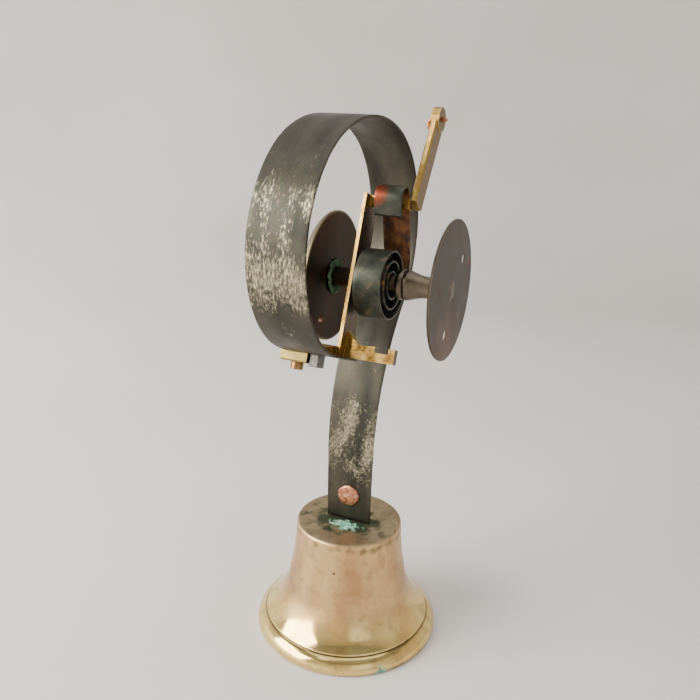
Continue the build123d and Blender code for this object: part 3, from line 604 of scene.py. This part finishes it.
def buildReturnSpring():
    # Half circles that grow step by step, then the run out, the slanting rise and the hook over the head
    # bar.
    coil = returnCoil
    axis = joints["carriage_turn"]["pos_m"]
    turns = [(coil["firstRadius"] + k * coil["pitch"], -180.0) for k in range(coil["halfTurns"])]
    turns.append((coil["firstRadius"] + coil["halfTurns"] * coil["pitch"], -coil["lastTurn"]))
    start = (axis[0] + coil["start"], axis[2])
    places, headings, lengths = runPoints(start, math.pi / 2, (*turns, *coil["out"]), coil["step"])
    # A short tab reaches from the first turn into the arbor's slot
    tab = runPoints((axis[0] - 2.9 * mm, axis[2]), math.pi, ((0.7 * mm, 0), (0.7 * mm, -88.0)), 0.2 * mm)
    places = np.concatenate([tab[0], places[1:]])
    headings = np.concatenate([tab[1], headings[1:]])
    lengths = np.concatenate([tab[2], tab[2][-1] + lengths[1:]])
    coil["total"] = float(lengths[-1])
    section = stripSection(coil["width"], coil["thickness"], coil["corner"], 12)
    piece = stripPiece("returnSpring", (places, headings, lengths), coil["middle"], section,
                       sag=0.03 * mm, seed=11)
    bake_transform(piece)
    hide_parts("return_spring")
    dress(coilSteel(), piece)
    print("return spring:", round(coil["total"] / mm), "mm of strip")


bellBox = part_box("bell")
bellShape = {
    "floor": bellBox[0].z, "height": bellBox[1].z - bellBox[0].z,
    "centre": ((bellBox[0].x + bellBox[1].x) / 2, (bellBox[0].y + bellBox[1].y) / 2, bellBox[0].z),
    "mouth": (bellBox[1].x - bellBox[0].x) / 2, "wall": 2.8 * mm, "stem": 3.0 * mm, "shoulder": 1.4 * mm,
    "line": 8.2 * mm, "turns": 264,
}


def bellMarks(points):
    # Where the bell is dirty, dull or green: by height for the line and the crown, and by distance from
    # the foot of the strip for the corrosion, which also lifts the surface a little, and for a darker green-grey
    # patch.
    shape = bellShape
    high = points[..., 2] - shape["floor"]
    foot = np.array(tailFoot)
    away = (points[..., :2] - foot) / np.array([10.5 * mm, 15.5 * mm])
    reach = np.linalg.norm(away, axis=-1) + 0.45 * waves(points, 6 * mm, 21) + 0.2 * waves(points,
                                                                                           1.8 * mm, 22)
    top = np.clip((high - shape["height"] + 0.55 * mm) / (0.4 * mm), 0, 1)
    heart = (points[..., :2] - foot - np.array([4.5 * mm, 1.0 * mm])) / np.array([4.0 * mm, 6.0 * mm])
    crust = np.linalg.norm(heart, axis=-1) + 0.5 * waves(points, 3.5 * mm, 23) + 0.3 * waves(points,
                                                                                             1.1 * mm, 24)
    crust = top * np.clip((1.15 - crust) / 0.3, 0, 1)
    # A darker green-grey patch round the strip's foot, on the crown only
    stain = top * np.clip((1.4 - reach) / 0.6, 0, 1) * 0.9
    across = np.linalg.norm(points[..., :2] - np.array(shape["centre"][:2]), axis=-1)
    outside = (across > 42.0 * mm)
    dirt = np.clip(1.2 - abs(high - shape["line"]) / (0.55 * mm), 0, 1) * outside
    # Brown smudges hang from the crown's rim
    hung = 1 - abs(high - shape["height"] + 3.0 * mm) / (2.6 * mm) + 0.9 * waves(points, 5 * mm, 27)
    dirt = np.maximum(dirt, 0.6 * np.clip(hung - 0.45, 0, 1) * (across > 20 * mm) * (1 - top))
    lip = np.linalg.norm(points - np.array([shape["centre"][0] + 33 * mm, shape["centre"][1] + 33.5 * mm,
                                            shape["floor"] + 1 * mm]), axis=-1)
    crust = np.maximum(crust, np.clip((3.4 * mm - lip) / (1.5 * mm) + 0.5 * waves(points, 2 * mm, 25), 0, 1))
    lift = top * crust * (0.25 + 0.35 * abs(waves(points, 1.3 * mm, 26))) * mm
    return {"crown": top, "crust": crust, "stain": stain, "dirt": dirt, "lift": lift}


def buildBell():
    # Outline from the lip's foot up the outside, over the crown and down the hole, then back down the
    # inside.
    shape = bellShape
    tall, mouth, wall, line = shape["height"], shape["mouth"], shape["wall"], shape["line"]
    lip = softLine(((mouth - 2.2 * mm, 0), (mouth - 0.6 * mm, 0.5 * mm), (mouth, 1.9 * mm),
                    (mouth - 0.5 * mm, 3.9 * mm), (mouth - 2.0 * mm, 6.1 * mm),
                    (mouth - 3.9 * mm, line - 0.55 * mm)),
                   spacing=0.5 * mm)
    groove = np.array(((mouth - 4.5 * mm, line - 0.3 * mm), (mouth - 4.9 * mm, line),
                       (mouth - 4.9 * mm, line + 0.25 * mm)))
    side = softLine(((mouth - 4.6 * mm, line + 0.6 * mm), (37.6 * mm, 14.0 * mm), (32.7 * mm, 22.0 * mm),
                     (29.4 * mm, 36.0 * mm), (26.9 * mm, tall - shape["shoulder"])), (-1, 0.85), (-0.05, 1))
    turn = np.linspace(0, np.pi / 2, 7)[1:]
    corner = np.stack([26.9 * mm - shape["shoulder"] * (1 - np.cos(turn)),
                       tall - shape["shoulder"] * (1 - np.sin(turn))], -1)
    crown = softLine(((25.4 * mm, tall), (14.0 * mm, tall - 0.1 * mm), (shape["stem"], tall)),
                     spacing=0.5 * mm)
    under = softLine(((shape["stem"], tall - wall), (24.0 * mm, tall - wall)), spacing=3 * mm)
    inside = softLine(((26.0 * mm - wall, tall - wall - 1.8 * mm), (29.4 * mm - wall, 36.0 * mm),
                       (32.7 * mm - wall, 21.2 * mm), (37.6 * mm - 0.8 * wall, 12.3 * mm),
                       (mouth - 3.8 * mm, 0.4 * mm), (mouth - 2.2 * mm, 0)), (0.05, -1), spacing=1.6 * mm)
    profile = np.concatenate([lip, groove, side, corner, crown, under, inside])
    piece = lathePiece("bellCasting", profile, shape["centre"], shape["turns"], lumps=0.03 * mm,
                       lumpSize=16 * mm, seed=31, marker=bellMarks)
    settle(piece, "bell", "bell_metal", "bell")
    dress(bellMetal(), piece)
    print("bell:", len(piece.data.polygons), "faces")


def buildNeck():
    # Turned standoff: a collar with a cut line, a hollow waist, a foot on the plate and a peened tenon.
    low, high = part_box("neck")
    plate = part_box("wall_plate")[0].y
    collar = (high.x - low.x) / 2
    outline = np.concatenate([
        np.array(((2.5 * mm, low.y), (collar - 1.2 * mm, low.y), (collar - 0.4 * mm, low.y + 0.3 * mm),
                  (collar, low.y + 1.0 * mm), (collar, low.y + 3.2 * mm),
                  (collar - 0.35 * mm, low.y + 3.5 * mm),
                  (collar, low.y + 3.8 * mm))),
        softLine(((collar, low.y + 5.5 * mm), (4.7 * mm, -11.0 * mm), (6.2 * mm, plate)), (-0.35, 1),
                 (1.1, 1)),
        np.array(((4.0 * mm, plate), (4.0 * mm, -0.1 * mm), (3.7 * mm, 0.12 * mm), (1.6 * mm, 0.22 * mm),
                  (0.02 * mm, 0.2 * mm))),
    ])
    piece = lathePiece("turnedNeck", outline[::-1], (0, 0, 0), 96, axis="Y", lumps=0.06 * mm, lumpSize=3 * mm,
                       seed=41)
    settle(piece, "root", "patinated_brass", "neck")
    return piece


def buildHubRing():
    # Solder and corrosion built up in a lumpy ring round the front plate's boss.
    low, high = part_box("hub_ring")
    turn = np.linspace(0, 2 * np.pi, 22)
    middle, thick = (low.y + high.y) / 2, (high.y - low.y) / 2
    profile = np.stack([6.2 * mm + 1.7 * mm * np.cos(turn), middle + 1.25 * thick * np.sin(turn)], -1)
    piece = lathePiece("corrodedRing", profile[::-1], (0, 0, 0), 110, axis="Y", lumps=0.5 * mm,
                       lumpSize=4.5 * mm, seed=43)
    settle(piece, "root", "verdigris_solder", "hub_ring")
    dress(simpleMetal("verdigris crust on solder", ((0.3, "#26382a"), (0.48, "#41664a"), (0.64, "#6c9872")),
                      (0.75, 0.9), 1.8, metallic=0.1, relief=0.3), piece)


def buildTailRivet():
    # Hammered rivet: a low dome whose rim wanders, with a small peened head behind the tang.
    low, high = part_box("tail_rivet")
    centre = np.array([(low.x + high.x) / 2, (low.y + high.y) / 2, (low.z + high.z) / 2])
    strip = low.x + 1.2 * mm + 3.3 * mm
    t = np.linspace(0, 1, 16)
    dome = np.stack([5.8 * mm * np.sin(t * np.pi / 2), strip + 1.7 * mm * np.cos(t * np.pi / 2) ** 0.6], -1)
    back = np.array(((5.75 * mm, strip), (2.4 * mm, strip), (2.4 * mm, low.x + 1.2 * mm),
                     (3.6 * mm, low.x + 1.2 * mm), (3.3 * mm, low.x + 0.5 * mm), (2.2 * mm, low.x),
                     (0.02 * mm, low.x)))
    profile = np.concatenate([dome, back])
    angle = np.linspace(0, 2 * np.pi, 72, endpoint=False)
    radius, deep = profile[:, 0][:, None], profile[:, 1][:, None]
    wander = 1 + 0.02 * np.sin(2 * angle + 0.6) + 0.012 * np.sin(5 * angle) + 0.006 * np.sin(9 * angle + 2)
    head = (deep > strip - 1e-6)
    radius = np.where(head, radius * wander, radius + 0 * angle)
    points = np.stack([deep + 0 * angle, centre[1] + radius * np.cos(angle),
                       centre[2] + radius * np.sin(angle)],
                      -1)
    points[..., 0] += 0.16 * mm * waves(points, 3.2 * mm, 51) * (head & (radius < 5 * mm))
    piece = gridPiece("copperRivet", points)
    settle(piece, "bell", "copper", "tail_rivet")
    return piece


def buildClapperBall():
    # A cast ball with a collar where the rod's end is peened through it.
    low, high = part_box("clapper_ball")
    centre = [(low[k] + high[k]) / 2 for k in range(3)]
    radius = (high.x - low.x) / 2
    turn = np.linspace(np.radians(79), np.radians(-79), 34)
    ball = np.stack([radius * np.cos(turn), radius * np.sin(turn)], -1)
    top = np.array(((1.42 * mm, ball[0, 1] + 0.1 * mm),))
    foot = np.array(((0.9 * mm, ball[-1, 1] - 0.35 * mm), (0.02 * mm, ball[-1, 1] - 0.45 * mm)))
    profile = np.concatenate([top, ball, foot])
    piece = lathePiece("clapperBall", profile[::-1], centre, 72, lumps=0.09 * mm, lumpSize=4 * mm, seed=61)
    settle(piece, "clapper", "wrought_iron", "clapper_ball")
    return piece


def buildPullHook():
    # Copper wire through the arm's eye: a short stub on the wall side, and a loop bent back on the other.
    low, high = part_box("pull_hook")
    radius = 0.8 * mm
    x, z = (low.x + high.x) / 2, high.z - radius
    bend = 2.2 * mm
    turning = low.y + radius + bend
    straight = np.stack([np.linspace(high.y, turning, 14), np.full(14, z)], -1)
    angle = np.linspace(0, np.radians(205), 20)[1:]
    loop = np.stack([turning - bend * np.sin(angle), z - bend * (1 - np.cos(angle))], -1)
    route = np.concatenate([straight, loop])
    heading = np.gradient(route, axis=0)
    heading /= np.linalg.norm(heading, axis=1)[:, None]
    around = np.linspace(0, 2 * np.pi, 18, endpoint=False)
    size = np.full(len(route), radius)
    size[[0, -1]] = 0.72 * radius
    side = size[:, None] * np.cos(around)
    over = size[:, None] * np.sin(around)
    points = np.stack([x + side, route[:, None, 0] - over * heading[:, None, 1],
                       route[:, None, 1] + over * heading[:, None, 0]], -1)
    piece = gridPiece("pullWireStub", points, caps=(0, 1))
    settle(piece, "pull_hook", "copper", "pull_hook")
    return piece


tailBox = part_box("bell_tang")
tailFoot = (tailBox[1].x, (bellBox[0].y + bellBox[1].y) / 2)

buildScrollSpring()
buildReturnSpring()
buildBell()

neck = buildNeck()
buildHubRing()
rivet = buildTailRivet()
ball = buildClapperBall()
hook = buildPullHook()

wallPlate = softened("wall_plate", "wallPlateDisc", 0.25 * mm, "patinated_brass")
frontPlate = softened("front_plate", "frontPlateDisc", 0.25 * mm, "patinated_brass")
carriage = softened("carriage_frame", "carriageCasting", 0.3 * mm, "carriage_brass")
arm = softened("pull_arm", "pullArmBar", 0.3 * mm, "carriage_brass")
block = softened("clamp_block", "clampBlock", 0.55 * mm, "carriage_brass")
screw = softened("clamp_screw", "clampScrew", 0.2 * mm, "copper")
tab = softened("keeper_tab", "keeperTab", 0.3 * mm, "scaled_spring_steel")
spindle = softened("spindle", "spindlePin", 0.15 * mm, "spindle_steel")
arbor = softened("spring_arbor", "springArbor", 0.15 * mm, "spindle_steel")
spacer = softened("hub_spacer", "hubSpacer", 0.2 * mm, "patinated_brass")
bush = softened("carriage_bush", "carriageBush", 0.15 * mm, "carriage_brass")
tang = softened("bell_tang", "bellTang", 0.25 * mm, "wrought_iron")
washer = softened("tang_washer", "tangWasher", 0.15 * mm, "wrought_iron")
nut = softened("tang_nut", "tangNut", 0.3 * mm, "wrought_iron")
rod = softened("clapper_rod", "clapperRod", 0.1 * mm, "wrought_iron")

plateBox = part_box("wall_plate")
dress(agedBrass(
    "old brass sheet with brown patina",
    ((0.28, "#352e29"), (0.45, "#443d36"), (0.6, "#50493f"), (0.75, "#543f31")), "#8a7d66", (0.34, 0.5), 0.0,
    spot=(((2 * mm, 0, 1 * mm), 3.4 * mm, "#7b6b49", 0.55), ((0, 0, -8 * mm), 1.1 * mm, "#231d19", 0.9),
          ((-24 * mm, 0, 8 * mm), 2.0 * mm, "#8e3b2c", 0.9),
          ((4 * mm, 0, plateBox[0].z + 6 * mm), 22 * mm, "#6b4d3b", 0.7))), wallPlate)
dress(agedBrass("turned brass gone grey", ((0.28, "#4f463c"), (0.5, "#645b4f"), (0.72, "#7a6d5b")), "#a39474",
                (0.3, 0.46), 0.2), neck, spacer)
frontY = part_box("front_plate")[1].y
dress(agedBrass(
    "old brass sheet with chocolate patina",
    ((0.3, "#3a302a"), (0.5, "#4c4139"), (0.7, "#5d4a3e")), "#a3966f", (0.38, 0.55), 0.3,
    spot=(((0, frontY, 0), 10 * mm, "#63402c", 0.7), ((9 * mm, frontY, 3 * mm), 3.0 * mm, "#6f3424", 0.7),
          ((13 * mm, frontY, -17 * mm), 3.5 * mm, "#5c3027", 0.8)),
    rim=(27.9 * mm, "#8f846c", 0.8)), frontPlate)
castBrass = agedBrass(
    "hand-filed cast brass", ((0.3, "#a07838"), (0.5, "#d9ae5e"), (0.66, "#f6d486")), "#d8b05c",
    (0.22, 0.44), 0.6,
    size=5,
    # Painted shade with tarnish on the faces turned to the wall
    wallShadeAndTarnish=("#3f3423", 0.95),
    spot=(((10.1 * mm, -24 * mm, -26.0 * mm), 2.6 * mm, "#b0806c", 0.6),))
dress(castBrass, carriage, bush)
dress(agedBrass("hammered brass block", ((0.3, "#6e6038"), (0.5, "#94814c"), (0.7, "#b5a066")), "#d8c283",
                (0.3, 0.48), 1.2, edgeWidth=0.9, size=4), block)
# Painted shade with tarnish on the bar's faces turned to the wall
dress(agedBrass("hand-filed brass bar", ((0.3, "#94753c"), (0.5, "#bd9a55"), (0.68, "#dcbb70")), "#ecd08a",
                (0.26, 0.42), 0.9, wallShadeAndTarnish=("#6f5a38", 0.9), size=6), arm)
copper = simpleMetal("hammered copper", ((0.3, "#8c5a3f"), (0.5, "#c0866a"), (0.7, "#d8a184")),
                     (0.35, 0.5), 3.0,
                     cracks=5.0)
dress(copper, rivet)
dress(simpleMetal("copper wire", ((0.3, "#8d5a40"), (0.5, "#b97e59"), (0.7, "#cf9a70")), (0.3, 0.45),
                  1.5), hook)
dress(simpleMetal("browned brass screw", ((0.3, "#6b4f33"), (0.5, "#94744a"), (0.7, "#b89a68")),
                  (0.3, 0.45), 2.0),
      screw)
iron = simpleMetal("oxidised wrought iron", ((0.3, "#2b2825"), (0.5, "#3c3833"), (0.7, "#51483f")),
                   (0.5, 0.7),
                   2.5, metallic=0.8)
dress(iron, tang, washer, nut, rod, ball)
dress(simpleMetal("worn grey steel", ((0.3, "#4b4a47"), (0.5, "#6a6964"), (0.7, "#8d8a80")),
                  (0.35, 0.5), 2.0), tab)
dress(simpleMetal("oiled steel pin", ((0.3, "#57504a"), (0.5, "#7a6d5c"), (0.7, "#9a8a6b")),
                  (0.3, 0.45), 2.5),
      spindle, arbor)
print("fittings dressed")


studio = {
    "room": 0.58,       # strength of the light from all round
    "floorReach": 0.75, "bend": 0.75, "wall": 1.6, "paper": "#d9d5d2",
    "lights": (
        # name, place, width, height, watts, tint; every lamp aims at one shared target
        ("window", (0.75, -0.95, 0.55), 1.0, 0.8, 34.0, "#fdf8f0"),
        ("ceiling", (-0.1, -0.1, 1.25), 1.5, 1.5, 11.0, "#fffdfa"),
        ("fill", (0.9, 0.9, 0.35), 0.7, 0.9, 1.0, "#f4f6ff"),
    ),
}


def buildStudio():
    # A pale sheet that lies flat under the bell and rises all round in one curve.
    low = bellShape["floor"]
    bend = np.linspace(0, np.pi / 2, 24)[1:]
    flat = np.linspace(1e-6, studio["floorReach"], 12)
    radius = np.concatenate([flat, studio["floorReach"] + studio["bend"] * np.sin(bend),
                             [studio["floorReach"] + studio["bend"]]])
    height = np.concatenate([np.full(12, low), low + studio["bend"] * (1 - np.cos(bend)),
                             [low + studio["wall"]]])
    sheet = lathePiece("paperSweep", np.stack([radius, height], -1)[::-1], (0, 0, 0), 96)
    made, tree, shader = newMaterial("matt paper sweep")
    place = add(tree, "ShaderNodeTexCoord")
    soft = add(tree, "ShaderNodeTexNoise", {"Vector": place.outputs["Object"], "Scale": 2.2, "Detail": 3.0})
    tone = add(tree, "ShaderNodeValToRGB", {0: soft.outputs[0]}, ramp=((0.3, "#d3cfcc"), (0.7, "#dfdcda")))
    # Painted light: the paper is made paler on the side of the window and darker on the far side
    side = add(tree, "ShaderNodeVectorMath", {0: place.outputs["Object"], 1: (-0.407, 0.913, 0.0)},
               operation="DOT_PRODUCT")
    paintedWindowLight = add(tree, "ShaderNodeMapRange",
               {0: side.outputs["Value"], 1: -0.4, 2: 0.4, 3: 1.13, 4: 0.86}, clamp=True)
    lit = add(tree, "ShaderNodeVectorMath", {0: tone.outputs[0], 3: paintedWindowLight.outputs[0]}, operation="SCALE")
    tree.links.new(lit.outputs[0], shader.inputs["Base Color"])
    shader.inputs["Roughness"].default_value = 0.9
    dress(made, sheet)
    target = np.array((-0.01, -0.04, -0.06))
    for name, place, width, height, watts, tint in studio["lights"]:
        light = bpy.data.lights.new(name, "AREA")
        light.shape = "RECTANGLE"
        light.size, light.size_y, light.energy = width, height, watts
        light.color = linear(tint)[:3]
        lamp = bpy.data.objects.new(name, light)
        bpy.context.scene.collection.objects.link(lamp)
        lamp.location = place
        aim = Vector(target - np.array(place))
        lamp.rotation_euler = aim.to_track_quat("-Z", "Y").to_euler()
        lamp.visible_camera = False
    world = bpy.data.worlds.new("room")
    bpy.context.scene.world = world
    world.use_nodes = True
    tree = world.node_tree
    where = add(tree, "ShaderNodeTexCoord")
    parts = add(tree, "ShaderNodeSeparateXYZ", {0: where.outputs["Generated"]})
    sky = add(tree, "ShaderNodeValToRGB", {0: parts.outputs["Z"]},
              ramp=((0.0, "#c9c5c2"), (0.35, "#8f8c89"), (0.7, "#c4c2c0"), (1.0, "#f0efed")))
    tree.links.new(sky.outputs[0], tree.nodes["Background"].inputs["Color"])
    tree.nodes["Background"].inputs["Strength"].default_value = studio["room"]


viewpoint = {
    "place": (0.2963, 0.0828, 0.0738),
    "turns": (71.602, -1.684, 113.991),     # degrees about X, Y and Z
    "lens": 38.26, "sensor": 36.0,          # millimetres
    "near": 0.01,
}


def buildCamera():
    camera = bpy.data.objects.new("camera", bpy.data.cameras.new("camera"))
    bpy.context.scene.collection.objects.link(camera)
    camera.location = viewpoint["place"]
    camera.rotation_euler = [math.radians(turn) for turn in viewpoint["turns"]]
    camera.data.lens = viewpoint["lens"]
    camera.data.sensor_width = viewpoint["sensor"]
    camera.data.clip_start = viewpoint["near"]
    bpy.context.scene.camera = camera


buildStudio()
buildCamera()
